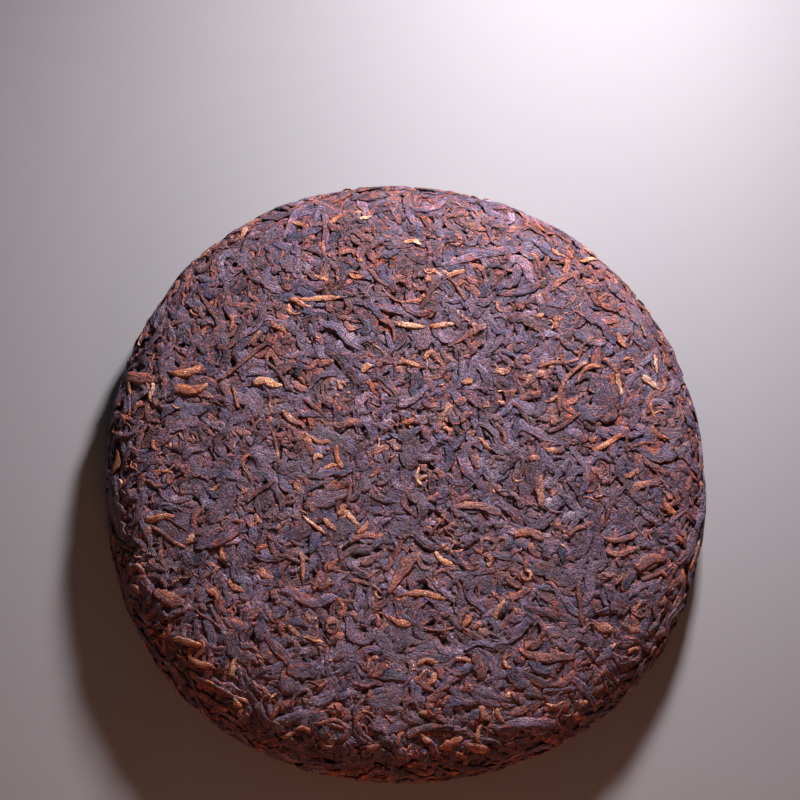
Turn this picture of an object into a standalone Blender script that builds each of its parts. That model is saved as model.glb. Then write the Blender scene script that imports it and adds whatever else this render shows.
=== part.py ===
"""A round cake of ripe pu-erh tea, pressed whole from loose leaf, lying face up on its underside.

The face is a low dome that rolls over a soft shoulder to the rim. The underside is flat where the
cake stands, and holds the round hollow that the knot of the pressing bag leaves. The whole skin is
uneven, because it is made of leaves pressed one over another.

Metres, +Z up. The origin is on the resting plane, below the middle of the cake.
Run with: blender --background --python part.py
"""

import math
import random

import bpy
import numpy as np

MM = 0.001

# Driving dimensions of the pressed cake.
DIAMETER = 190 * MM
THICKNESS = 24.4 * MM  # at the crown, before the highest leaves stand above it
RIM_HEIGHT = 9 * MM  # level of the widest line above the resting plane
FACE_FULLNESS = 6.5  # higher makes a flatter face and a tighter shoulder
BASE_FULLNESS = 8.0
BASE_PRESS = 0.7 * MM  # how much of the base's own curve the pressing board has flattened

# The hollow that the bag's knot leaves in the underside.
HOLLOW_RADIUS = 31 * MM
HOLLOW_DEPTH = 10 * MM
HOLLOW_STEEPNESS = 1.3  # above 1 the hollow has a broader roof and steeper walls

# The flat band of the underside, and the width over which leaf relief fades to it. Whatever comes
# nearer to the resting plane than FOOT_PRESS is pressed flat onto it.
FOOT_INNER_RADIUS = 50 * MM
FOOT_OUTER_RADIUS = 58 * MM
FOOT_FADE = 5 * MM
FOOT_PRESS = 0.15 * MM

# Unevenness of the outline: waves round the rim, height of the wave, direction of one crest.
OUTLINE_WAVES = (
    (2, 0.6 * MM, math.radians(141)),
    (3, 0.7 * MM, math.radians(110)),
    (4, 0.9 * MM, math.radians(45)),
)
THICK_SIDE = math.radians(250)  # direction in which the cake is a little thicker
THICK_SHARE = 0.03

# Pressed leaves, as shallow lumps of the skin.
LEAF_COUNT = 2600
LEAF_LENGTH = (11 * MM, 22 * MM)
LEAF_WIDTH = (4 * MM, 7.5 * MM)
LEAF_PROUD = 0.9 * MM  # how far the highest leaves stand above the plain section
LEAF_RISE = 1.3 * MM  # from a leaf's edge to its crest
LEAF_SINK = 1.0 * MM  # how deep the lowest leaf lies under the highest
LEAF_REACH = 5 * MM  # a leaf shapes the skin no further off than this along its normal
LEAF_SEED = 7

# Fineness of the mesh: the leaves are pressed into a fine skin, softened, and then thinned.
TURN_STEPS = 180
PROFILE_STEPS = 70  # points on the face's curve, and again on the base's
WELD = 0.01 * MM
SKIN_GRID = 1.5 * MM
SOFTENING = 0.5  # how far each pass draws a point of the skin towards its neighbours' middle
SOFTENING_PASSES = 3
MOST_TRIANGLES = 9000

RADIUS = DIAMETER / 2
TEA_COLOUR = (0.075, 0.043, 0.042, 1.0)
TEA_ROUGHNESS = 0.62


def clear_scene():
    for thing in list(bpy.data.objects):
        bpy.data.objects.remove(thing)


def roll_off(radius, fullness):
    """From 1 at the axis to 0 at the rim, as a superellipse."""
    return math.sqrt(max(0.0, 1 - (radius / RADIUS) ** fullness))


def face_height(radius):
    return RIM_HEIGHT + (THICKNESS - RIM_HEIGHT) * roll_off(radius, FACE_FULLNESS)


def hollow_height(radius):
    """The hollow's roof above the resting plane, and nothing outside the hollow."""
    share = min(1.0, radius / HOLLOW_RADIUS) ** HOLLOW_STEEPNESS
    return HOLLOW_DEPTH * 0.5 * (1 + math.cos(math.pi * share))


def base_height(radius):
    curve = RIM_HEIGHT - (RIM_HEIGHT + BASE_PRESS) * roll_off(radius, BASE_FULLNESS)
    return max(0.0, curve, hollow_height(radius))


def section():
    """(radius, 0, height) from the crown, out over the rim, to the hollow's roof."""
    turns = [0.5 * math.pi * step / PROFILE_STEPS for step in range(PROFILE_STEPS + 1)]
    radii = [RADIUS * math.sin(turn) for turn in turns]
    face = [(radius, 0.0, face_height(radius)) for radius in radii]
    base = [(radius, 0.0, base_height(radius)) for radius in reversed(radii)]
    return face + base[1:]


def finished_mesh(name, mesh, shape_it):
    """The mesh after the modifiers that shape_it adds to an object that holds it for the while."""
    holder = bpy.data.objects.new(name, mesh)
    bpy.context.scene.collection.objects.link(holder)
    shape_it(holder.modifiers)
    bpy.context.view_layer.update()
    graph = bpy.context.evaluated_depsgraph_get()
    finished = bpy.data.meshes.new_from_object(holder.evaluated_get(graph))
    bpy.data.objects.remove(holder)
    return finished


def turned_blank():
    """The plain cake, turned from its section and laid over with an even grid of faces."""
    points = section()
    profile = bpy.data.meshes.new("section")
    profile.from_pydata(points, [(i, i + 1) for i in range(len(points) - 1)], [])

    def turn(modifiers):
        screw = modifiers.new("turn", "SCREW")
        screw.steps = TURN_STEPS
        screw.render_steps = TURN_STEPS
        screw.use_merge_vertices = True
        screw.merge_threshold = WELD
        grid = modifiers.new("even grid", "REMESH")
        grid.mode = "VOXEL"
        grid.voxel_size = SKIN_GRID

    return finished_mesh("blank", profile, turn)


def vertex_numbers(mesh, kind):
    numbers = np.empty(len(mesh.vertices) * 3)
    mesh.vertices.foreach_get(kind, numbers)
    return numbers.reshape(-1, 3)


def move_vertices(mesh, points):
    mesh.vertices.foreach_set("co", points.ravel())
    mesh.update()


def scattered_leaves(points, normals, draws):
    """LEAF_COUNT leaves spread evenly over the skin, each a dict of its place, axes and sizes."""
    leaves = []
    for index in draws.choices(range(len(points)), k=LEAF_COUNT):
        normal = normals[index]
        heading = np.array([draws.gauss(0, 1) for _ in range(3)])
        heading -= heading.dot(normal) * normal
        heading /= np.linalg.norm(heading)
        leaves.append({
            "place": points[index],
            "normal": normal,
            "heading": heading,
            "across": np.cross(normal, heading),
            "half_length": draws.uniform(*LEAF_LENGTH) / 2,
            "half_width": draws.uniform(*LEAF_WIDTH) / 2,
            "crest": LEAF_PROUD - draws.uniform(0, LEAF_SINK),
        })
    return leaves


def leaf_relief(points, leaves):
    """How far the leaves lift each point off the plain section, or leave it sunk below."""
    relief = np.full(len(points), LEAF_PROUD - LEAF_SINK - LEAF_RISE)
    for leaf in leaves:
        offset = points - leaf["place"]
        along = offset @ leaf["heading"] / leaf["half_length"]
        across = offset @ leaf["across"] / leaf["half_width"]
        inside = 1 - along**2 - across**2
        near = (inside > 0) & (np.abs(offset @ leaf["normal"]) < LEAF_REACH)
        back = leaf["crest"] + LEAF_RISE * (np.sqrt(np.maximum(inside, 0)) - 1)
        relief = np.where(near, np.maximum(relief, back), relief)
    return relief


def foot_fade(points):
    """0 on the flat band of the underside, rising to 1 away from it and over the rest of the skin."""
    radius = np.hypot(points[:, 0], points[:, 1])
    beside = np.maximum(FOOT_INNER_RADIUS - radius, radius - FOOT_OUTER_RADIUS)
    beside = np.maximum(beside, points[:, 2])
    return np.clip(beside / FOOT_FADE, 0, 1)


def outline_scale(angle):
    """How far the real outline stands out from a true circle at an angle, as a factor."""
    waves = sum(rise * np.cos(count * (angle - crest)) for count, rise, crest in OUTLINE_WAVES)
    return 1 + waves / RADIUS


def pressed_skin(mesh):
    """Moves the blank's points to the relief of the pressed leaves and the uneven outline."""
    draws = random.Random(LEAF_SEED)
    points = vertex_numbers(mesh, "co")
    normals = vertex_numbers(mesh, "normal")
    leaves = scattered_leaves(points, normals, draws)
    lift = leaf_relief(points, leaves) * foot_fade(points)
    points += normals * lift[:, None]
    angle = np.arctan2(points[:, 1], points[:, 0])
    reach = np.hypot(points[:, 0], points[:, 1]) / RADIUS
    points[:, :2] *= outline_scale(angle)[:, None]
    points[:, 2] *= 1 + THICK_SHARE * reach * np.cos(angle - THICK_SIDE)
    points[:, 2] = np.maximum(points[:, 2], 0)
    move_vertices(mesh, points)


def thinned_skin(mesh):
    """The skin with its creases softened and few enough faces."""
    share = MOST_TRIANGLES / (2 * len(mesh.polygons))

    def thin(modifiers):
        softening = modifiers.new("soft creases", "SMOOTH")
        softening.factor = SOFTENING
        softening.iterations = SOFTENING_PASSES
        thinning = modifiers.new("fewer faces", "DECIMATE")
        thinning.ratio = share

    return finished_mesh("skin", mesh, thin)


def set_down(mesh):
    """Presses the foot flat on the resting plane and brings the middle of the cake over the origin."""
    points = vertex_numbers(mesh, "co")
    points[points[:, 2] < FOOT_PRESS, 2] = 0
    points[:, :2] -= (points[:, :2].min(axis=0) + points[:, :2].max(axis=0)) / 2
    move_vertices(mesh, points)


def pressed_tea():
    material = bpy.data.materials.new("pressed_ripe_tea")
    material.use_nodes = True
    shader = material.node_tree.nodes["Principled BSDF"]
    shader.inputs["Base Color"].default_value = TEA_COLOUR
    shader.inputs["Roughness"].default_value = TEA_ROUGHNESS
    shader.inputs["Metallic"].default_value = 0.0
    return material


def tea_cake(collection):
    blank = turned_blank()
    pressed_skin(blank)
    mesh = thinned_skin(blank)
    set_down(mesh)
    mesh.name = "tea_cake"
    mesh.shade_smooth()
    mesh.materials.append(pressed_tea())
    collection.objects.link(bpy.data.objects.new("tea_cake", mesh))


def main():
    clear_scene()
    collection = bpy.data.collections.new("pu_erh_tea_cake")
    bpy.context.scene.collection.children.link(collection)
    tea_cake(collection)


main()
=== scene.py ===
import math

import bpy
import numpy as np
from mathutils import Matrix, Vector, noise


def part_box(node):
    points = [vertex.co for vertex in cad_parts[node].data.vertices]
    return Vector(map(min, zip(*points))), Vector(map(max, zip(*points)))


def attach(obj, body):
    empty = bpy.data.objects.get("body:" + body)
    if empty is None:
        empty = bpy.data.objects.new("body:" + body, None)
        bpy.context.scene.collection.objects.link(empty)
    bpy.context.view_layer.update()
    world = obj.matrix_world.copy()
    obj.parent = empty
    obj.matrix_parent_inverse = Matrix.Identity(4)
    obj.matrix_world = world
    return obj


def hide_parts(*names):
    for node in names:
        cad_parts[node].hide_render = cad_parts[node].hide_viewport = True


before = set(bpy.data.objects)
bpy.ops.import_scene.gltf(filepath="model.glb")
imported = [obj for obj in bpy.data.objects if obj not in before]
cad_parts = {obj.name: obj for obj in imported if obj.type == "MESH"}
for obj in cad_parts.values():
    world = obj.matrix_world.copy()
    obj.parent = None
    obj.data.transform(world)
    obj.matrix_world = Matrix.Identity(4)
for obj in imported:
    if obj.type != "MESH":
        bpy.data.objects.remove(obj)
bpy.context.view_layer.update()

# A round cake of ripe pu-erh tea, pressed whole from loose leaf. Leaves, buds, stems and crumbs are
# laid one by one on a dark core, each resting on those already there, and the whole skin is then
# pressed, so that tops go flat and the gaps between leaves stay deep.
#
# Lengths here are millimetres until a mesh is made. Every piece lies in the part's own frame.

MM = 0.001
SEED = 20

# ---------------------------------------------------------------- the cake's own form
LOW, HIGH = (np.array(corner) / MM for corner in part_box("tea_cake"))
SKIN_RISE = 0.7  # how far the flattest leaf tops stand proud of the plain section
OUTLINE_WAVES = ((2, 0.6, math.radians(141)), (3, 0.7, math.radians(110)), (4, 0.9, math.radians(45)))
THICK_SIDE = math.radians(250)
THICK_SHARE = 0.03
RADIUS = (HIGH[0] - LOW[0] + HIGH[1] - LOW[1]) / 4 + 0.1
CROWN = (HIGH[2] - SKIN_RISE) / (1 + 0.6 * THICK_SHARE)
RIM_HEIGHT = 0.36 * CROWN  # level of the widest line
FACE_FULLNESS = 6.5
BASE_FULLNESS = 8.0
BASE_PRESS = 0.7
HOLLOW_RADIUS = 31.0
HOLLOW_DEPTH = 10.0
HOLLOW_STEEPNESS = 1.3

# ---------------------------------------------------------------- how the skin is pressed
CELL = 0.4  # side of a cell of the maps that hold how high the leaves lie
LEVELLING_REACH = 7.0  # lumps of the heap wider than this are levelled by the press
PRESS_LEVEL = 0.55  # leaf tops are pressed to about this far above the mean level
TOP_LEVEL = 0.30  # what the press leaves at this height lies level with the plain section
PRESS_SHARE = 0.85
PRESS_SHARPNESS = 1.0  # higher presses the tops flatter
MAT_SINK = 0.58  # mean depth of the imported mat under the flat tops
MAT_LUMPS = 0.30
MAT_LUMP_SIZE = 2.2
CREASE_SPACING = 3.4
CREASE_WIDTH = 0.22
CREASE_DEPTH = 0.45
CRACK_SPACING = 5.0
CRACK_WIDTH = 0.08
CRACK_DEPTH = 1.5
SWELL = 0.45  # the press leaves hollows this deep, about SWELL_SIZE across
SWELL_SIZE = 26.0
LOOSE_DEPTH = 0.4  # hollows deeper than this under the mean level are partly closed by the press
CLOSING = 0.68
FIRM_SIDE = math.radians(115)  # direction in which the press has closed the face more
FIRM_SHARE = 0.16
RIM_START = 0.90  # the rim is pressed less from here out, as a share of the radius
RIM_SINK = 0.5  # how much deeper the mat lies on the rim


def roll_off(radius, fullness):
    return np.sqrt(np.maximum(0.0, 1 - (radius / RADIUS) ** fullness))


def face_height(radius):
    return RIM_HEIGHT + (CROWN - RIM_HEIGHT) * roll_off(radius, FACE_FULLNESS)


def base_height(radius):
    curve = RIM_HEIGHT - (RIM_HEIGHT + BASE_PRESS) * roll_off(radius, BASE_FULLNESS)
    share = np.minimum(1.0, radius / HOLLOW_RADIUS) ** HOLLOW_STEEPNESS
    hollow = HOLLOW_DEPTH * 0.5 * (1 + np.cos(math.pi * share))
    return np.maximum(np.maximum(0.0, curve), hollow)


def rim_share(radius):
    """0 on the pressed face and 1 on the looser rim."""
    return np.clip((radius / RADIUS - RIM_START) / 0.06, 0, 1)


def outline_scale(angle):
    return 1 + sum(rise * np.cos(count * (angle - crest)) for count, rise, crest in OUTLINE_WAVES) / RADIUS


def swell(x, y):
    """How deep the face is hollowed at a place, from the uneven filling of the mould."""
    waves = [math.sin(turn) * x + math.cos(turn) * y for turn in (0.3, 1.5, 2.6)]
    size = sum(np.sin(2 * math.pi * wave / SWELL_SIZE + shift) for shift, wave in enumerate(waves))
    return SWELL * (0.5 + size / 6)


def outline_middle():
    """Middle of the uneven outline's box, which the cake is shifted by to lie over the origin."""
    angle = np.linspace(0, 2 * math.pi, 720)
    reach = RADIUS * outline_scale(angle)
    round_x = reach * np.cos(angle)
    round_y = reach * np.sin(angle)
    return np.array([round_x.min() + round_x.max(), round_y.min() + round_y.max()]) / 2


MIDDLE = outline_middle()


class Side:
    """One side of the cake, unrolled flat from its middle: x and y on it are arc lengths."""

    def __init__(self, radii, heights, outward, rise):
        steps = np.hypot(np.diff(radii), np.diff(heights))
        self.arc = np.concatenate(([0.0], np.cumsum(steps)))
        self.radii = radii
        self.heights = heights
        along_r = np.gradient(radii, self.arc)
        along_z = np.gradient(heights, self.arc)
        size = np.hypot(along_r, along_z)
        self.normal_r = -outward * along_z / size
        self.normal_z = outward * along_r / size
        self.reach = self.arc[-1]  # leaves are centred no further out than this
        self.rise = rise  # where the flattest leaf tops stand, off the plain section
        self.half = self.arc[-1] + 12
        count = int(2 * self.half / CELL)
        self.level = np.zeros((count, count))
        self.mean_level = self.level

    def cells(self, x, y):
        last = len(self.level) - 1
        column = np.clip(((x + self.half) / CELL).astype(int), 0, last)
        row = np.clip(((y + self.half) / CELL).astype(int), 0, last)
        return row, column

    def crossways_stretch(self, x, y):
        """How much longer a step round the cake is on the unrolled side than on the cake."""
        arc = np.hypot(x, y)
        return min(1.7, arc / max(1.0, np.interp(arc, self.arc, self.radii)))

    def pressed(self, x, y, rise):
        """Height after the press of something that lay at rise. Its order is kept."""
        above = rise - self.mean_level[self.cells(x, y)]
        flat = PRESS_LEVEL - np.logaddexp(0, PRESS_SHARPNESS * (PRESS_LEVEL - above)) / PRESS_SHARPNESS
        sunk = np.logaddexp(0, PRESS_SHARPNESS * (-LOOSE_DEPTH - flat)) / PRESS_SHARPNESS
        loose = rim_share(np.hypot(x, y)) if self.rise > 0 else 0.0
        firm = FIRM_SHARE * (x * math.cos(FIRM_SIDE) + y * math.sin(FIRM_SIDE)) / RADIUS
        return PRESS_SHARE * (flat + (CLOSING + firm) * (1 - loose) * sunk)

    def in_space(self, x, y, rise):
        """Points of the cake from places on the unrolled side and heights off the outline."""
        arc = np.hypot(x, y)
        angle = np.arctan2(y, x)
        if self.rise > 0:
            rise = rise - swell(x, y)
        radius = np.interp(arc, self.arc, self.radii) + rise * np.interp(arc, self.arc, self.normal_r)
        height = np.interp(arc, self.arc, self.heights) + rise * np.interp(arc, self.arc, self.normal_z)
        height = height * (1 + THICK_SHARE * (radius / RADIUS) * np.cos(angle - THICK_SIDE))
        radius = radius * outline_scale(angle)
        x = radius * np.cos(angle) - MIDDLE[0]
        y = radius * np.sin(angle) - MIDDLE[1]
        return np.stack([x, y, height], axis=-1)

    def unrolled(self, x, y):
        """The place on the unrolled side of what is over x and y of the cake."""
        radius = math.hypot(x, y)
        arc = np.interp(radius, self.radii[:FLAT_STEPS], self.arc[:FLAT_STEPS])
        return x * arc / max(radius, 1e-6), y * arc / max(radius, 1e-6)


FLAT_STEPS = 500  # points of a side's section from its middle to the rim


def both_sides():
    radii = RADIUS * np.sin(np.linspace(0, math.pi / 2, FLAT_STEPS))
    under = RADIUS * np.cos(np.linspace(0, 0.42, 120))[1:]
    face = Side(
        np.concatenate((radii, under)),
        np.concatenate((face_height(radii), base_height(under))),
        outward=1,
        rise=SKIN_RISE,
    )
    inner = radii[radii < 0.965 * RADIUS]
    base = Side(inner, base_height(inner), outward=-1, rise=0.0)
    return face, base


# ---------------------------------------------------------------- single leaves
UNDER_REACH = 0.7  # how far out the two points under each ring lie, as a share of its half width
FINENESS = 3

# What each kind of thing in the cake measures, as ranges from the smallest to the largest.
# length, width, thick: overall sizes. bend: degrees that its middle line turns through.
# furrow: depth of its lengthwise furrows as a share of its thickness. stiff: passes of smoothing
# over what it lies on. blunt: lower has a fuller outline. ragged: unevenness of its edges.
# grid: rings along it, and points over the top of each.
KINDS = {
    "dark_leaf": dict(length=(7, 18), width=(1.9, 3.8), thick=(0.7, 1.35), bend=(-150, 150),
                      furrow=0.85, stiff=2, blunt=0.45, ragged=0.28, grid=(12, 7)),
    "grey_leaf": dict(length=(5.5, 12.5), width=(2.0, 4.2), thick=(0.8, 1.4), bend=(-120, 120),
                      furrow=0.75, stiff=2, blunt=0.45, ragged=0.28, grid=(11, 7)),
    "brown_leaf": dict(length=(5, 13), width=(1.3, 3.0), thick=(0.55, 1.0), bend=(-160, 160),
                       furrow=0.70, stiff=2, blunt=0.45, ragged=0.30, grid=(10, 6)),
    "broad_leaf": dict(length=(9, 17), width=(3.8, 7.0), thick=(0.5, 0.9), bend=(-50, 50),
                       furrow=1.0, stiff=1, blunt=0.40, ragged=0.36, grid=(12, 11)),
    "stem": dict(length=(6, 14), width=(0.8, 1.4), thick=(0.7, 1.0), bend=(-70, 70),
                 furrow=0.20, stiff=4, blunt=0.14, ragged=0.20, grid=(13, 5)),
    "bud": dict(length=(3.5, 8), width=(1.1, 2.2), thick=(0.7, 1.1), bend=(-110, 110),
                furrow=0.45, stiff=3, blunt=0.50, ragged=0.34, grid=(9, 5)),
    "scrap": dict(length=(2.2, 6.0), width=(1.0, 2.6), thick=(0.4, 0.8), bend=(-110, 110),
                  furrow=0.50, stiff=1, blunt=0.35, ragged=0.50, grid=(7, 5)),
    "fibre": dict(length=(2.0, 6.5), width=(0.35, 0.8), thick=(0.4, 0.75), bend=(-170, 170),
                  furrow=0.10, stiff=2, blunt=0.20, ragged=0.30, grid=(8, 3)),
    "crumb": dict(length=(0.9, 2.4), width=(0.6, 1.4), thick=(0.4, 0.75), bend=(-60, 60),
                  furrow=0.20, stiff=0, blunt=0.30, ragged=0.50, grid=(5, 4)),
    "back_leaf": dict(length=(9, 21), width=(2.6, 6.0), thick=(0.6, 1.1), bend=(-80, 80),
                      furrow=0.70, stiff=2, blunt=0.45, ragged=0.36, grid=(10, 6)),
}


def between(count):
    """Turns values at count places into values at FINENESS times as many, evenly between them."""
    fine = np.linspace(0, count - 1, FINENESS * count)
    first = np.minimum(fine.astype(int), count - 2)
    share = fine - first
    matrix = np.zeros((len(fine), count))
    matrix[np.arange(len(fine)), first] = 1 - share
    matrix[np.arange(len(fine)), first + 1] += share
    return matrix


BETWEEN = {count: between(count) for sizes in KINDS.values() for count in sizes["grid"]}


def smoothed(values, passes):
    for _ in range(passes):
        padded = np.concatenate((values[:1], values, values[-1:]))
        values = 0.25 * padded[:-2] + 0.5 * padded[1:-1] + 0.25 * padded[2:]
    return values


def furrows(along, cross, draws):
    """0 on the leaf's ribs and 1 down its furrows, which run lengthwise and wind a little."""
    count = draws.uniform(0.9, 1.5) * cross.size / 6
    winding = draws.uniform(-1.3, 1.3)
    wander = 0.25 * np.sin(2 * math.pi * (along * draws.uniform(0.6, 1.6) + draws.uniform()))
    phase = math.pi * (count * (cross + winding * (along - 0.5) + wander) + draws.uniform(0, 2))
    return (0.5 + 0.5 * np.cos(phase)) ** 3


TUCK = 1.1  # how far a leaf's ends are tucked in between others, at most, in its thicknesses
TUCK_REACH = 0.42  # share of the leaf's length over which an end goes down
TILT = 0.45  # how far a leaf's sides stand higher or lower than its middle, in its thicknesses
DEEPEST_TUCK = 0.8
MARKED_FREEDOM = 0.3  # how much of the random sway and tuck a marked leaf keeps


def drawn_leaf(kind, draws, length=None, width=None, bend=None, tone=None):
    """A leaf of a kind, lying along x about its middle: places and heights of its top points."""
    sizes = KINDS[kind]
    stations, points = sizes["grid"]
    length = draws.uniform(*sizes["length"]) if length is None else length
    width = draws.uniform(*sizes["width"]) if width is None else width
    bend = draws.uniform(*sizes["bend"]) if bend is None else bend
    thick = draws.uniform(*sizes["thick"])
    run = np.linspace(0, 1, stations)
    cross = np.linspace(-1, 1, points)
    freedom = 1.0 if tone is None else MARKED_FREEDOM
    sway = freedom * draws.uniform(-0.6, 0.6) * np.sin(2 * math.pi * (run + draws.uniform()))
    heading = math.radians(bend) * (run - 0.5) + sway
    step = length / (stations - 1)
    middle_x = np.cumsum(np.cos(heading)) * step
    middle_y = np.cumsum(np.sin(heading)) * step
    middle_x -= middle_x.mean()
    middle_y -= middle_y.mean()
    widest = draws.uniform(0.6, 1.7)
    outline = np.sin(math.pi * (0.04 + 0.92 * run) ** widest) ** sizes["blunt"]
    uneven = draws.uniform(-sizes["ragged"], sizes["ragged"], (stations, 2))
    left = 0.5 * width * outline * (1 + uneven[:, 0])
    right = 0.5 * width * outline * (1 + uneven[:, 1])
    across = np.where(cross[None, :] < 0, left[:, None], right[:, None]) * cross[None, :]
    x = middle_x[:, None] - np.sin(heading)[:, None] * across
    y = middle_y[:, None] + np.cos(heading)[:, None] * across
    crown = 0.2 + 0.8 * (1 - np.abs(cross[None, :]) ** 2.4) ** 0.6
    depth = sizes["furrow"] * draws.uniform(0.4, 1.0)
    cut = depth * furrows(run[:, None], cross[None, :], draws) * (1 - 0.7 * cross[None, :] ** 4)
    puckers = draws.uniform(-0.11, 0.11, across.shape)
    lift = thick * np.maximum(outline[:, None] ** 0.5 * (crown - cut) + puckers, 0.12)
    tucks = freedom * draws.uniform(0, TUCK * thick, 2)
    tuck = tucks[0] * np.clip(1 - run / TUCK_REACH, 0, 1) ** 1.5
    tuck = tuck + tucks[1] * np.clip(1 - (1 - run) / TUCK_REACH, 0, 1) ** 1.5
    lift = lift - tuck[:, None] + thick * draws.uniform(-TILT, TILT) * cross[None, :]
    return {
        "x": x,
        "y": y,
        "lift": lift,
        "along": run[:, None] * length * np.ones_like(across),
        "across": across,
        "cross": cross,
        "edge": np.maximum(np.abs(cross)[None, :] ** 2, np.abs(2 * run - 1)[:, None] ** 6),
        "tone": draws.uniform() if tone is None else tone,
    }


def laid(side, kind, leaf, x, y, heading, proud=0.0):
    """Lays a leaf on a side, resting on what is there, and raises the level where it lies."""
    turned_x = leaf["x"] * math.cos(heading) - leaf["y"] * math.sin(heading)
    turned_y = leaf["x"] * math.sin(heading) + leaf["y"] * math.cos(heading)
    outward = math.atan2(y, x)
    out_part = turned_x * math.cos(outward) + turned_y * math.sin(outward)
    round_part = -turned_x * math.sin(outward) + turned_y * math.cos(outward)
    round_part = round_part * side.crossways_stretch(x, y)
    place_x = x + out_part * math.cos(outward) - round_part * math.sin(outward)
    place_y = y + out_part * math.sin(outward) + round_part * math.cos(outward)
    under = side.level[side.cells(place_x, place_y)]
    stiff = KINDS[kind]["stiff"]
    cross = leaf["cross"]
    rest = smoothed(0.3 * under.max(axis=1) + 0.7 * under.mean(axis=1), stiff)
    slope = smoothed(under @ cross / (cross @ cross), stiff + 1)
    bottom = rest[:, None] + 0.8 * slope[:, None] * cross[None, :] + proud
    top = np.maximum(bottom + leaf["lift"], under - DEEPEST_TUCK)
    stations, points = KINDS[kind]["grid"]
    fine_x = BETWEEN[stations] @ place_x @ BETWEEN[points].T
    fine_y = BETWEEN[stations] @ place_y @ BETWEEN[points].T
    fine_top = BETWEEN[stations] @ top @ BETWEEN[points].T
    np.maximum.at(side.level, side.cells(fine_x, fine_y), fine_top)
    return dict(leaf, side=side, kind=kind, place_x=place_x, place_y=place_y, top=top, bottom=bottom)


def free_place(side, draws, tries):
    """The lowest-lying of a few random places on a side."""
    best = None
    for _ in range(tries):
        while True:
            x, y = draws.uniform(-side.reach, side.reach, 2)
            arc = math.hypot(x, y)
            if arc < side.reach and draws.uniform() * arc < np.interp(arc, side.arc, side.radii):
                break
        around = side.level[side.cells(x + NEAR_X, y + NEAR_Y)].mean()
        if best is None or around < best[0]:
            best = (around, x, y)
    return best[1], best[2]


NEAR_X = np.array([0, 2, -2, 0, 0, 1.5, -1.5, 1.5, -1.5])
NEAR_Y = np.array([0, 0, 0, 2, -2, 1.5, 1.5, -1.5, -1.5])


def random_heading(side, x, y, draws):
    """Any direction on the face, but mostly along the rim near the rim."""
    heading = draws.uniform(0, 2 * math.pi)
    edge = np.clip((math.hypot(x, y) - 0.9 * RADIUS) / (0.08 * RADIUS), 0, 1)
    if draws.uniform() < 0.75 * edge:
        heading = math.atan2(y, x) + math.pi / 2 + draws.normal(0, 0.35)
    return heading


# What is laid on each side, in turn: how many to a square centimetre, the share of each kind, and
# from how many random places the lowest-lying is taken. The back of a cake has coarser leaf.
FACE_LAYERS = (
    (1.8, 2, (("dark_leaf", 0.35), ("grey_leaf", 0.20), ("broad_leaf", 0.25), ("brown_leaf", 0.20))),
    (3.0, 3, (("scrap", 0.50), ("crumb", 0.40), ("fibre", 0.10))),
    (7.0, 4, (("dark_leaf", 0.40), ("grey_leaf", 0.24), ("broad_leaf", 0.09), ("brown_leaf", 0.27))),
    (5.6, 5, (("scrap", 0.40), ("fibre", 0.20), ("crumb", 0.32), ("bud", 0.055), ("stem", 0.025))),
)
BACK_LAYERS = (
    (1.6, 2, (("back_leaf", 1.0),)),
    (1.4, 3, (("scrap", 0.60), ("fibre", 0.40))),
    (2.6, 4, (("back_leaf", 0.75), ("brown_leaf", 0.25))),
    (2.2, 4, (("scrap", 0.40), ("fibre", 0.30), ("crumb", 0.15), ("stem", 0.12), ("bud", 0.03))),
)
CM2 = 100.0


def area(side):
    return 2 * math.pi * float(np.sum(0.5 * (side.radii[1:] + side.radii[:-1]) * np.diff(side.arc)))


def heap(side, layers, draws, marked_leaves=()):
    """Lays the layers of a side, with the marked leaves under the last one's small pieces."""
    leaves = []
    for number, (density, tries, mix) in enumerate(layers):
        if number == len(layers) - 1:
            leaves.extend(laid_as_marked(side, marked_leaves, draws))
        names = [name for name, _ in mix]
        shares = np.array([share for _, share in mix])
        count = int(density * area(side) / CM2)
        for kind in draws.choice(names, size=count, p=shares / shares.sum()):
            kind = str(kind)
            x, y = free_place(side, draws, tries)
            heading = random_heading(side, x, y, draws)
            leaves.append(laid(side, kind, drawn_leaf(kind, draws), x, y, heading))
    return leaves


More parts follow.
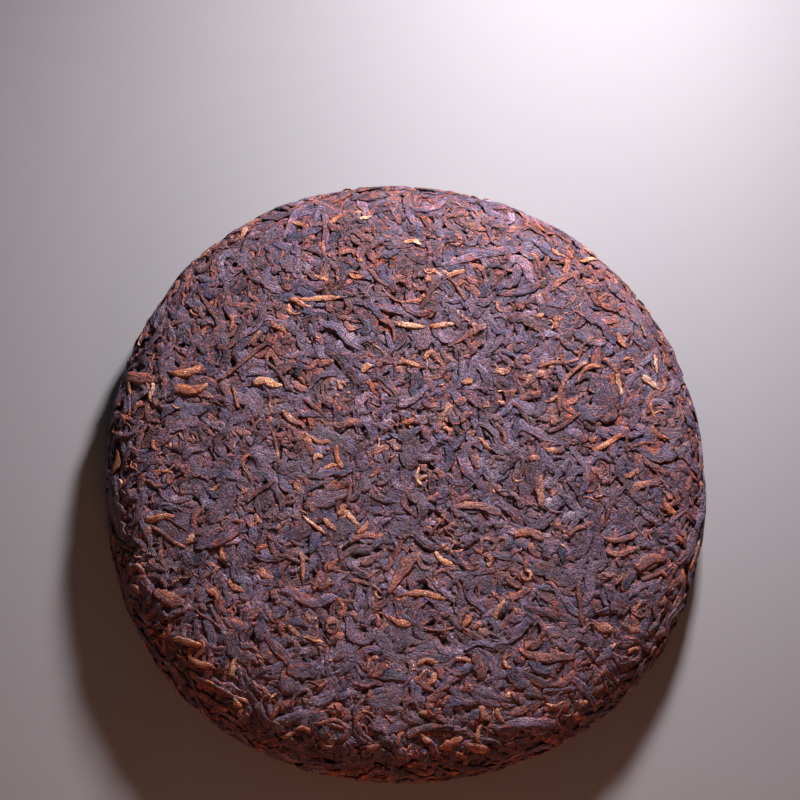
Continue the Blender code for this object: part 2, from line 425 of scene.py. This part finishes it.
# Leaves that stand out on the face, each laid where it is on this cake:
# kind, x, y, direction in degrees, length, width, bend in degrees, tone from dark to light.
MARKED = (
    ("dark_leaf", 23, 69, 12, 28, 3.2, 12, 0.95),
    ("dark_leaf", 36, 58, 14, 16, 2.7, 40, 0.40),
    ("dark_leaf", 3, 52, -20, 13, 2.1, 130, 0.25),
    ("dark_leaf", -58, -20, 18, 14, 3.6, 20, 0.35),
    ("dark_leaf", 37, -75, 5, 20, 3.4, -15, 0.85),
    ("broad_leaf", 61, 24, -72, 16, 7.5, 10, 0.40),
    ("broad_leaf", 57, 19, 10, 8, 6.0, 0, 0.55),
    ("broad_leaf", 63, -37, -50, 11, 6.0, 10, 0.30),
    ("broad_leaf", -31, -59, -10, 9.5, 5.0, 0, 0.25),
    ("brown_leaf", -83, 31, -15, 12, 4.0, 20, 0.85),
    ("brown_leaf", 20, 44, 30, 11.5, 2.2, 5, 0.90),
    ("brown_leaf", 49, 61, 40, 11, 2.6, -45, 0.95),
    ("brown_leaf", -72, -37, -20, 11, 4.5, 15, 0.70),
    ("brown_leaf", -58, -63, -27, 18, 2.5, 10, 0.80),
    ("brown_leaf", -60, -67, -25, 15, 2.2, -12, 0.65),
    ("brown_leaf", -1, -30, 55, 17, 4.0, -10, 0.85),
    ("brown_leaf", 21, -10, -5, 17, 2.7, -50, 0.70),
    ("brown_leaf", 41, -5, 85, 10, 2.7, 10, 1.00),
    ("brown_leaf", 37, -18, -5, 10, 3.0, -75, 0.90),
    ("brown_leaf", 74, -26, 20, 11, 3.4, -50, 0.80),
    ("brown_leaf", 65, -19, 0, 12, 1.9, 80, 0.65),
    ("brown_leaf", 65, -23, 0, 11, 1.9, 70, 0.80),
    ("brown_leaf", 22, -58, -70, 8.5, 4.0, 0, 0.50),
    ("brown_leaf", 42, -54, -10, 17, 3.0, 60, 0.75),
    ("brown_leaf", 58, -45, -25, 8, 3.0, 20, 0.70),
    ("stem", -49, 35, 36, 21, 1.5, -10, 0.35),
    ("stem", -61, 53, -60, 12.5, 1.1, 15, 0.15),
    ("stem", -38, 30, -47, 11.5, 1.2, -10, 0.00),
    ("stem", 16, 59, -52, 10.5, 1.3, -25, 0.80),
    ("stem", 50, 28, 65, 20, 1.5, -75, 0.90),
    ("stem", 49, 16, 30, 12, 1.5, 10, 0.30),
    ("stem", -45, -5, 38, 11, 1.5, 5, 0.10),
    ("stem", -73, -19, -30, 13, 1.2, 15, 0.50),
    ("stem", -22, -46, 0, 9, 1.2, 290, 0.80),
    ("stem", 52, -39, 95, 13, 1.5, -8, 0.40),
    ("stem", 75, -30, 18, 9, 1.5, 20, 0.45),
    ("stem", -52, 24, -75, 7, 1.3, 10, 0.75),
    ("bud", -68, 32, 0, 11.5, 2.6, 60, 0.42),
    ("bud", -66, 27, 0, 11.5, 2.9, 65, 0.30),
    ("bud", -42, 28, -5, 9.7, 2.5, -20, 0.85),
    ("bud", -36, 18, -45, 5, 2.0, 0, 0.90),
    ("bud", -26, 54, 5, 13, 1.8, 20, 0.60),
    ("bud", 0, 47, -10, 12, 1.9, 10, 0.90),
    ("bud", 12, 47, 5, 9, 1.8, -15, 0.90),
    ("bud", 56, 32, 45, 10.5, 1.6, -100, 0.25),
    ("bud", 67, 42, -60, 5.5, 2.0, 10, 0.30),
    ("bud", 76, 29, -38, 6.5, 2.4, 0, 0.90),
    ("bud", 78, 35, 95, 6.5, 1.6, 0, 0.95),
    ("bud", 66, 28, -80, 7, 1.8, 10, 0.80),
    ("bud", 62, 10, 28, 11, 2.0, 20, 0.42),
    ("bud", 19, 29, 10, 3.6, 2.3, 0, 0.65),
    ("bud", 58, 69, 20, 8, 1.8, 15, 0.75),
    ("bud", -76, -13, 5, 9.5, 2.2, -10, 0.50),
    ("bud", -62, -56, -30, 9, 2.4, 90, 0.35),
    ("bud", -66, -50, -10, 10, 2.6, -15, 0.50),
    ("bud", -31, -28, 92, 9.5, 1.7, 8, 0.30),
    ("bud", -28, -15, -37, 9, 1.3, 10, 0.80),
    ("bud", -23, -15, -45, 5.5, 1.7, 10, 0.30),
    ("bud", -2, -45, -25, 7.5, 2.2, 50, 0.38),
    ("bud", 5, -37, 0, 15, 2.0, -35, 0.50),
    ("bud", 36, -30, 0, 8, 1.4, 310, 0.55),
    ("bud", 89, -24, 62, 10, 2.0, 0, 0.40),
    ("bud", 14, -82, 30, 8, 3.0, 20, 0.25),
    ("bud", 22, -83, -10, 8, 3.0, 25, 0.35),
    ("bud", -91, 5, 70, 8, 2.6, 120, 0.40),
)
MARKED_PROUD = 0.4  # they lie a little over their neighbours


def laid_as_marked(side, marked_leaves, draws):
    leaves = []
    for kind, x, y, direction, length, width, bend, tone in marked_leaves:
        leaf = drawn_leaf(kind, draws, length, width, bend, tone)
        across, up = side.unrolled(x + MIDDLE[0], y + MIDDLE[1])
        leaves.append(laid(side, kind, leaf, across, up, math.radians(direction), MARKED_PROUD))
    return leaves


def shows(leaf):
    """Whether enough of the leaf is left uncovered by others and by the mat to be worth making."""
    side = leaf["side"]
    x = leaf["place_x"]
    y = leaf["place_y"]
    uncovered = leaf["top"] > side.level[side.cells(x, y)] - 0.25
    height = side.pressed(x, y, leaf["top"]) - TOP_LEVEL
    return np.mean(uncovered & (height > -MAT_SINK - 0.5 * MAT_LUMPS)) > 0.1


def levelled(side):
    """The mean level round each place, which the press brings to one height."""
    reach = int(LEVELLING_REACH / CELL)
    mean = side.level
    for _ in range(2):
        for axis in (0, 1):
            ends = [(0, 0), (0, 0)]
            ends[axis] = (reach + 1, reach)
            total = np.cumsum(np.pad(mean, ends, mode="edge"), axis=axis)
            high = np.take(total, range(2 * reach + 1, total.shape[axis]), axis=axis)
            low = np.take(total, range(total.shape[axis] - 2 * reach - 1), axis=axis)
            mean = (high - low) / (2 * reach + 1)
    side.mean_level = mean


# ---------------------------------------------------------------- meshes
def leaf_faces(stations, ring):
    """The corners of a leaf's faces: a tube of rings, and a cap on each end."""
    quads = []
    for station in range(stations - 1):
        for point in range(ring):
            other = (point + 1) % ring
            here = station * ring
            there = here + ring
            quads.append((here + point, here + other, there + other, there + point))
    ends = [tuple(reversed(range(ring))), tuple(range((stations - 1) * ring, stations * ring))]
    return quads + ends


def leaf_points(leaf):
    """The leaf's closed skin in space, ring by ring: the points over its top, then two under it."""
    side = leaf["side"]
    x = leaf["place_x"]
    y = leaf["place_y"]
    inner = np.array([UNDER_REACH, -UNDER_REACH])
    middle_x = x.mean(axis=1, keepdims=True)
    middle_y = y.mean(axis=1, keepdims=True)
    under_x = middle_x + (x[:, [-1, 0]] - middle_x) * abs(inner)
    under_y = middle_y + (y[:, [-1, 0]] - middle_y) * abs(inner)
    under = np.minimum(leaf["bottom"][:, [-1, 0]], leaf["top"][:, [-1, 0]]) - 0.35
    ring_x = np.concatenate((x, under_x), axis=1)
    ring_y = np.concatenate((y, under_y), axis=1)
    rise = np.concatenate((leaf["top"], under), axis=1)
    height = side.pressed(ring_x, ring_y, rise) - TOP_LEVEL + side.rise
    return side.in_space(ring_x, ring_y, height).reshape(-1, 3)


def ringed(values):
    """Values over a leaf's top, carried to the two points under it."""
    return np.concatenate((values, values[:, [-1, 0]]), axis=1).ravel()


def gathered_mesh(kind, leaves, draws):
    """All the leaves of a kind, as one mesh with the values that its material reads."""
    stations, points_over = KINDS[kind]["grid"]
    ring = points_over + 2
    size = stations * ring
    pattern = leaf_faces(stations, ring)
    points = []
    faces = []
    grain = []
    tone = []
    edge = []
    for number, leaf in enumerate(leaves):
        points.append(leaf_points(leaf))
        faces.extend([tuple(number * size + corner for corner in face) for face in pattern])
        seed = np.full(size, draws.uniform(0, 500))
        grain.append(np.stack([ringed(leaf["along"]), ringed(leaf["across"]), seed], axis=1))
        tone.append(np.full(size, leaf["tone"]))
        edge.append(ringed(leaf["edge"] * np.ones_like(leaf["along"])))
    mesh = bpy.data.meshes.new(kind)
    mesh.from_pydata((inside_box(np.concatenate(points)) * MM).tolist(), [], faces)
    add_values(mesh, "grain", "FLOAT_VECTOR", np.concatenate(grain))
    add_values(mesh, "tone", "FLOAT", np.concatenate(tone))
    add_values(mesh, "edge", "FLOAT", np.concatenate(edge))
    return mesh


def add_values(mesh, name, kind, values):
    field = "vector" if kind == "FLOAT_VECTOR" else "value"
    mesh.attributes.new(name, kind, "POINT").data.foreach_set(field, values.ravel())


def inside_box(points):
    """Draws in the few leaf ends that would reach out of the solid's box."""
    return np.clip(points, LOW, HIGH)


# ---------------------------------------------------------------- materials
def linear(code):
    """A colour written as sRGB hex, in the linear values that shaders take."""
    values = [int(code[place:place + 2], 16) / 255 for place in (1, 3, 5)]
    return [v / 12.92 if v <= 0.04045 else ((v + 0.055) / 1.055) ** 2.4 for v in values] + [1.0]


def add(tree, kind, links=(), values=(), **settings):
    """Adds a node. links: (its input, other node, that one's output). values: (input, value)."""
    made = tree.nodes.new(kind)
    for setting, value in settings.items():
        setattr(made, setting, value)
    for socket, value in values:
        made.inputs[socket].default_value = value
    for socket, other, output in links:
        tree.links.new(other.outputs[output], made.inputs[socket])
    return made


def ramp(tree, source, output, stops):
    """Colours by value. stops: (value, colour) from lowest to highest."""
    made = add(tree, "ShaderNodeValToRGB", links=[("Fac", source, output)])
    elements = made.color_ramp.elements
    elements.remove(elements[1])
    elements[0].position = stops[0][0]
    elements[0].color = linear(stops[0][1])
    for place, code in stops[1:]:
        elements.new(place).color = linear(code)
    return made


def cured_leaf(name, tones, fleck_code, fleck_share, roughness, wrinkle_share=1.0):
    """Leaf that was piled wet until it fermented, then steamed, pressed and dried.

    The ferment darkens the blade to violet brown in uneven blotches, its violet grey partly a
    painted sheen, drying crumples it, worn edges and veins stay rust, and dust and dried juice,
    with a painted sheen, run on from leaf to leaf and bind them into one mat. Painted shade
    darkens each leaf's seam and the furrows of its wrinkles, with painted light on their ridges,
    and the grit paints fine highlights and shade as well as dust.
    """
    material = bpy.data.materials.new(name)
    material.use_nodes = True
    tree = material.node_tree
    shader = tree.nodes["Principled BSDF"]
    grain = add(tree, "ShaderNodeAttribute", attribute_name="grain")
    tone = add(tree, "ShaderNodeAttribute", attribute_name="tone")
    edge = add(tree, "ShaderNodeAttribute", attribute_name="edge")
    place = add(tree, "ShaderNodeTexCoord")
    cake = add(tree, "ShaderNodeMapping", links=[("Vector", place, "Object")],
               values=[("Scale", (1 / MM, 1 / MM, 1 / MM))])
    # Wrinkles of the blade about 0.5 mm apart, which run on for about 2 mm.
    lengthwise = add(tree, "ShaderNodeMapping", links=[("Vector", grain, "Vector")],
                     values=[("Scale", (0.5, 2.0, 1.0))])
    wrinkle = add(tree, "ShaderNodeTexNoise", links=[("Vector", lengthwise, "Vector")],
                  values=[("Scale", 1.0), ("Detail", 3.0), ("Roughness", 0.6), ("Distortion", 0.8)])
    # Crumpling of the pressed mat, lumps about 1.3 mm across.
    crumple = add(tree, "ShaderNodeTexNoise", links=[("Vector", cake, "Vector")],
                  values=[("Scale", 0.8), ("Detail", 3.0), ("Roughness", 0.65), ("Distortion", 0.6)])
    # Blotches of the ferment, about 5 mm across.
    blotch = add(tree, "ShaderNodeTexNoise", links=[("Vector", cake, "Vector")],
                 values=[("Scale", 0.2), ("Detail", 5.0), ("Roughness", 0.75)])
    # Rust patches that the ferment left, about 4 mm long and 2 mm across on each leaf.
    patchwise = add(tree, "ShaderNodeMapping", links=[("Vector", grain, "Vector")],
                    values=[("Scale", (0.24, 0.55, 1.0))])
    rust = add(tree, "ShaderNodeTexNoise", links=[("Vector", patchwise, "Vector")],
               values=[("Scale", 1.0), ("Detail", 5.0), ("Roughness", 0.68), ("Distortion", 0.8)])
    # Grit of leaf dust and hair, and painted fine highlights and shade, drawn as coarse as 0.4 mm so that it
    # shows.
    grit = add(tree, "ShaderNodeTexNoise", links=[("Vector", cake, "Vector")],
               values=[("Scale", 3.0), ("Detail", 1.5), ("Roughness", 0.8)])
    mottle = add(tree, "ShaderNodeMapRange", links=[("Value", blotch, "Fac")],
                 values=[("From Min", 0.3), ("From Max", 0.7), ("To Min", -0.45), ("To Max", 0.45)])
    shade = add(tree, "ShaderNodeMath", operation="MULTIPLY_ADD",
                links=[(0, tone, "Fac"), (2, mottle, "Result")], values=[(1, 0.58)])
    shade = add(tree, "ShaderNodeMath", operation="ADD", links=[(0, shade, "Value")],
                values=[(1, 0.20)])
    blade = ramp(tree, shade, "Value", tones)
    rusty = add(tree, "ShaderNodeMapRange", links=[("Value", rust, "Fac")],
                values=[("From Min", 0.49), ("From Max", 0.66)])
    worn = add(tree, "ShaderNodeMath", operation="MULTIPLY_ADD", links=[(0, edge, "Fac")],
               values=[(1, 0.7), (2, 0.55)])
    fleck = add(tree, "ShaderNodeMath", operation="MULTIPLY",
                links=[(0, rusty, "Result"), (1, worn, "Value")])
    # The loose rim and some stretches of the face show more of the rust than the rest.
    out = add(tree, "ShaderNodeVectorMath", operation="LENGTH", links=[(0, cake, "Vector")])
    rimward = add(tree, "ShaderNodeMapRange", links=[("Value", out, "Value")],
                  values=[("From Min", 60.0), ("From Max", 92.0), ("To Min", 0.0), ("To Max", 0.6)])
    stretch = add(tree, "ShaderNodeTexNoise", links=[("Vector", cake, "Vector")],
                  values=[("Scale", 0.055), ("Detail", 2.0), ("Roughness", 0.6)])
    stretch = add(tree, "ShaderNodeMapRange", links=[("Value", stretch, "Fac")],
                  values=[("From Min", 0.35), ("From Max", 0.65), ("To Min", 0.3), ("To Max", 1.3)])
    share = add(tree, "ShaderNodeMath", operation="ADD", links=[(0, rimward, "Result"), (1, stretch, "Result")])
    fleck = add(tree, "ShaderNodeMath", operation="MULTIPLY",
                links=[(0, fleck, "Value"), (1, share, "Value")])
    fleck = add(tree, "ShaderNodeMath", operation="MULTIPLY", use_clamp=True,
                links=[(0, fleck, "Value")], values=[(1, fleck_share)])
    colour = add(tree, "ShaderNodeMix", data_type="RGBA",
                 links=[("Factor", fleck, "Value"), (6, blade, "Color")],
                 values=[(7, linear(fleck_code))])
    # Pale bloom of dried juice and dust, and painted sheen, in stretches that run on over the seams.
    bloom_and_sheen = add(tree, "ShaderNodeTexNoise", links=[("Vector", cake, "Vector")],
                values=[("Scale", 0.13), ("Detail", 5.0), ("Roughness", 0.65), ("Distortion", 0.5)])
    bloom_and_sheen = add(tree, "ShaderNodeMapRange", links=[("Value", bloom_and_sheen, "Fac")],
                values=[("From Min", 0.46), ("From Max", 0.66), ("To Max", 0.5)])
    colour = add(tree, "ShaderNodeMix", data_type="RGBA",
                 links=[("Factor", bloom_and_sheen, "Result"), (6, colour, 2)],
                 values=[(7, linear("#6e5a5d"))])
    # The grit in the colour is partly dust and hair and partly painted fine highlights and shade.
    grit_and_painted_speckle = add(tree, "ShaderNodeMapRange", links=[("Value", grit, "Fac")],
                 values=[("From Min", 0.3), ("From Max", 0.7), ("To Min", 0.05), ("To Max", 2.1)])
    # Painted shade in the furrows of the wrinkles and painted light on their ridges, from the same noise as their
    # bump.
    wrinkle_shading = add(tree, "ShaderNodeMapRange", links=[("Value", wrinkle, "Fac")],
                  values=[("From Min", 0.35), ("From Max", 0.65), ("To Min", 0.65), ("To Max", 1.36)])
    # Painted shade: each leaf is darkened towards its edge, in the seam where it meets the others.
    seam_shade = add(tree, "ShaderNodeMapRange", links=[("Value", edge, "Fac")],
               values=[("From Min", 0.65), ("From Max", 1.0), ("To Min", 1.0), ("To Max", 0.8)])
    # Grit, painted seam shade and painted wrinkle light and shade scale the colour together.
    shaded = add(tree, "ShaderNodeMath", operation="MULTIPLY",
                 links=[(0, grit_and_painted_speckle, "Result"), (1, seam_shade, "Result")])
    shaded = add(tree, "ShaderNodeMath", operation="MULTIPLY",
                 links=[(0, shaded, "Value"), (1, wrinkle_shading, "Result")])
    dusted_and_shaded = add(tree, "ShaderNodeVectorMath", operation="SCALE",
                 links=[(0, colour, 2), ("Scale", shaded, "Value")])
    tree.links.new(dusted_and_shaded.outputs[0], shader.inputs["Base Color"])
    rough = add(tree, "ShaderNodeMapRange", links=[("Value", crumple, "Fac")],
                values=[("To Min", roughness - 0.14), ("To Max", roughness + 0.18)])
    tree.links.new(rough.outputs["Result"], shader.inputs["Roughness"])
    relief = add(tree, "ShaderNodeMath", operation="MULTIPLY_ADD",
                 links=[(0, wrinkle, "Fac"), (2, crumple, "Fac")], values=[(1, 0.8 * wrinkle_share)])
    relief = add(tree, "ShaderNodeMath", operation="MULTIPLY_ADD",
                 links=[(0, grit, "Fac"), (2, relief, "Value")], values=[(1, 0.36)])
    bump = add(tree, "ShaderNodeBump", links=[("Height", relief, "Value")],
               values=[("Strength", 1.0), ("Distance", 0.8 * MM)])
    tree.links.new(bump.outputs["Normal"], shader.inputs["Normal"])
    shader.inputs["IOR"].default_value = 1.45
    return material


# The violet and blue grey stops below are partly the leaves' own colour and partly painted sheen, the cool sheen
# the blades show under light.
DARK_TONES = [(0.0, "#231216"), (0.2, "#43252a"), (0.35, "#3b334b"), (0.52, "#5c424d"),
              (0.66, "#554c6a"), (0.82, "#785b68"), (1.0, "#967b8a")]
GREY_TONES = [(0.0, "#251d28"), (0.35, "#40384e"), (0.6, "#554c64"), (0.8, "#6b5a6c"), (1.0, "#958190")]
BROWN_TONES = [(0.0, "#351617"), (0.3, "#58302f"), (0.5, "#684245"), (0.75, "#8a5244"), (1.0, "#b87c62")]
BROAD_TONES = [(0.0, "#281720"), (0.25, "#443039"), (0.45, "#453c52"), (0.65, "#664c57"),
               (0.85, "#675b70"), (1.0, "#8a6d76")]
STEM_TONES = [(0.0, "#44211f"), (0.5, "#744036"), (0.8, "#965a46"), (1.0, "#b47a64")]
BUD_TONES = [(0.0, "#7c3a26"), (0.35, "#a9603f"), (0.65, "#c08460"), (1.0, "#e0b28e")]
FIBRE_TONES = [(0.0, "#43262a"), (0.45, "#6e443e"), (0.7, "#a4644a"), (1.0, "#e0ab88")]
SCRAP_TONES = [(0.0, "#2a151a"), (0.25, "#492f36"), (0.45, "#523e4c"), (0.65, "#744747"),
               (0.82, "#985c48"), (1.0, "#cf9170")]
MAT_TONES = [(0.0, "#2a1113"), (0.3, "#452729"), (0.5, "#40364a"), (0.7, "#5c4853"), (1.0, "#7c6472")]


# ---------------------------------------------------------------- the pieces
def dressed(name, mesh, material):
    mesh.shade_smooth()
    mesh.materials.append(material)
    piece = bpy.data.objects.new(name, mesh)
    bpy.context.scene.collection.objects.link(piece)
    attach(piece, "root")
    return piece


MAT_GRID = 1.05  # side of a cell of the mat's mesh
TURN_STEPS = 256


def turned_blank():
    """The plain cake, turned from its section and laid over with an even grid of faces."""
    radii = RADIUS * np.sin(np.linspace(0, math.pi / 2, 120))
    run_r = np.concatenate((radii, radii[-2::-1]))
    run_z = np.concatenate((face_height(radii), base_height(radii[-2::-1])))
    section = bpy.data.meshes.new("section")
    points = [(r * MM, 0.0, z * MM) for r, z in zip(run_r, run_z)]
    section.from_pydata(points, [(i, i + 1) for i in range(len(points) - 1)], [])
    holder = bpy.data.objects.new("blank", section)
    bpy.context.scene.collection.objects.link(holder)
    screw = holder.modifiers.new("turn", "SCREW")
    screw.steps = TURN_STEPS
    screw.render_steps = TURN_STEPS
    screw.use_merge_vertices = True
    screw.merge_threshold = 0.01 * MM
    grid = holder.modifiers.new("even grid", "REMESH")
    grid.mode = "VOXEL"
    grid.voxel_size = MAT_GRID * MM
    bpy.context.view_layer.update()
    graph = bpy.context.evaluated_depsgraph_get()
    blank = bpy.data.meshes.new_from_object(holder.evaluated_get(graph))
    bpy.data.objects.remove(holder)
    return blank


def mat_relief(points):
    """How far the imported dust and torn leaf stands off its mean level: lumps, and a few cracks."""
    relief = np.empty(len(points))
    for number, point in enumerate(points):
        lump = noise.noise(point / MAT_LUMP_SIZE) + 0.6 * noise.noise(point / (0.5 * MAT_LUMP_SIZE))
        crack = 1 - abs(noise.noise(point / CRACK_SPACING)) / CRACK_WIDTH
        crease = 1 - abs(noise.noise(point / CREASE_SPACING)) / CREASE_WIDTH
        relief[number] = MAT_LUMPS * lump - CRACK_DEPTH * max(0.0, crack) - CREASE_DEPTH * max(0.0, crease)
    return relief


def core_piece():
    """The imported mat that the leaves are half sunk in, one closed body under them."""
    mesh = turned_blank()
    points = np.empty(len(mesh.vertices) * 3)
    normals = np.empty(len(mesh.vertices) * 3)
    mesh.vertices.foreach_get("co", points)
    mesh.vertices.foreach_get("normal", normals)
    points = points.reshape(-1, 3) / MM
    normals = normals.reshape(-1, 3)
    in_hollow = (normals[:, 2] < 0) & (np.hypot(points[:, 0], points[:, 1]) < HOLLOW_RADIUS)
    on_face = np.where(in_hollow, 0, np.clip((points[:, 2] - 1.0) / 4.0, 0, 1))
    hollowed = swell(points[:, 0], points[:, 1])
    relief = mat_relief([Vector(point) for point in points])
    loose = rim_share(np.hypot(points[:, 0], points[:, 1])) * on_face
    lift = (SKIN_RISE - hollowed) * on_face - MAT_SINK - RIM_SINK * loose + relief
    points += normals * lift[:, None]
    angle = np.arctan2(points[:, 1], points[:, 0])
    points[:, 2] *= 1 + THICK_SHARE * np.hypot(points[:, 0], points[:, 1]) / RADIUS * np.cos(angle - THICK_SIDE)
    points[:, :2] *= outline_scale(angle)[:, None]
    points[:, :2] -= MIDDLE
    mesh.vertices.foreach_set("co", (inside_box(points) * MM).ravel())
    mesh.update()
    mesh.name = "core"
    add_values(mesh, "grain", "FLOAT_VECTOR", points)
    add_values(mesh, "tone", "FLOAT", np.full(len(points), 0.5))
    add_values(mesh, "edge", "FLOAT", np.full(len(points), 0.5))
    return dressed("core", mesh, cured_leaf("packed_leaf_dust", MAT_TONES, "#9a4a2c", 0.8, 0.66, 0.3))


face, base = both_sides()
draws = np.random.default_rng(SEED)
leaves = heap(face, FACE_LAYERS, draws, MARKED) + heap(base, BACK_LAYERS, draws)
for side in (face, base):
    levelled(side)
seen = [leaf for leaf in leaves if shows(leaf)]
print("laid", len(leaves), "kept", len(seen))

FINISHES = {
    "dark_leaf": cured_leaf("dark_cured_leaf", DARK_TONES, "#a8532e", 0.9, 0.47),
    "grey_leaf": cured_leaf("rolled_cured_leaf", GREY_TONES, "#9a5234", 0.75, 0.44),
    "brown_leaf": cured_leaf("brown_cured_leaf", BROWN_TONES, "#bd5c32", 0.9, 0.54),
    "broad_leaf": cured_leaf("broad_cured_leaf", BROAD_TONES, "#a45232", 0.85, 0.48),
    "back_leaf": cured_leaf("coarse_cured_leaf", DARK_TONES, "#98543f", 0.7, 0.5),
    "stem": cured_leaf("cured_stem", STEM_TONES, "#5e3634", 0.8, 0.6),
    "bud": cured_leaf("golden_bud", BUD_TONES, "#944c2c", 0.8, 0.65, 0.8),
    "fibre": cured_leaf("torn_vein", FIBRE_TONES, "#a85c38", 0.6, 0.65, 0.3),
    "scrap": cured_leaf("torn_leaf", SCRAP_TONES, "#bf5c30", 0.8, 0.54),
    "crumb": cured_leaf("leaf_crumb", SCRAP_TONES, "#bb6a46", 0.7, 0.6, 0.4),
}
pieces = [core_piece()]
for kind, finish in FINISHES.items():
    own = [leaf for leaf in seen if leaf["kind"] == kind]
    mesh = gathered_mesh(kind, own, draws)
    print(kind, len(own), "triangles", sum(len(face.vertices) - 2 for face in mesh.polygons))
    pieces.append(dressed(kind, mesh, finish))
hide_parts("tea_cake")

# ---------------------------------------------------------------- floor, light and camera
FLOOR_SIZE = 3.0
VIEW_ELEVATION = math.radians(83)
VIEW_DISTANCE = 0.595
LENS = 85
AIM = np.array([-1.7, 25.0, RIM_HEIGHT]) * MM


def pointed_at(thing, place, target):
    thing.location = place
    thing.rotation_euler = (Vector(target) - Vector(place)).to_track_quat("-Z", "Y").to_euler()
    bpy.context.scene.collection.objects.link(thing)


def studio_floor():
    mesh = bpy.data.meshes.new("floor")
    half = FLOOR_SIZE / 2
    mesh.from_pydata([(-half, -half, 0), (half, -half, 0), (half, half, 0), (-half, half, 0)], [], [(0, 1, 2, 3)])
    material = bpy.data.materials.new("pale_paper")
    material.use_nodes = True
    shader = material.node_tree.nodes["Principled BSDF"]
    shader.inputs["Base Color"].default_value = linear("#9c9997")
    shader.inputs["Roughness"].default_value = 0.85
    mesh.materials.append(material)
    floor = bpy.data.objects.new("floor", mesh)
    bpy.context.scene.collection.objects.link(floor)


def soft_light(name, place, aim, size, power, code, spread):
    light = bpy.data.lights.new(name, "AREA")
    light.spread = math.radians(spread)
    light.size = size
    light.energy = power
    light.color = linear(code)[:3]
    pointed_at(bpy.data.objects.new(name, light), place, aim)


studio_floor()
soft_light("key", (0.11, 0.33, 0.19), (0, -0.02, 0.01), 0.055, 1.24, "#f4f0fc", 100)
soft_light("fill", (0.0, -0.44, 0.18), (0, -0.06, 0.01), 0.16, 0.3, "#ffa276", 140)
world = bpy.data.worlds.new("studio")
world.use_nodes = True
world.node_tree.nodes["Background"].inputs["Color"].default_value = linear("#e8e8f0")
world.node_tree.nodes["Background"].inputs["Strength"].default_value = 0.05
bpy.context.scene.world = world
bpy.context.scene.view_settings.view_transform = "Standard"

camera = bpy.data.cameras.new("camera")
camera.lens = LENS
place = AIM + VIEW_DISTANCE * np.array([0, -math.cos(VIEW_ELEVATION), math.sin(VIEW_ELEVATION)])
eye = bpy.data.objects.new("camera", camera)
pointed_at(eye, tuple(place), tuple(AIM))
bpy.context.scene.camera = eye
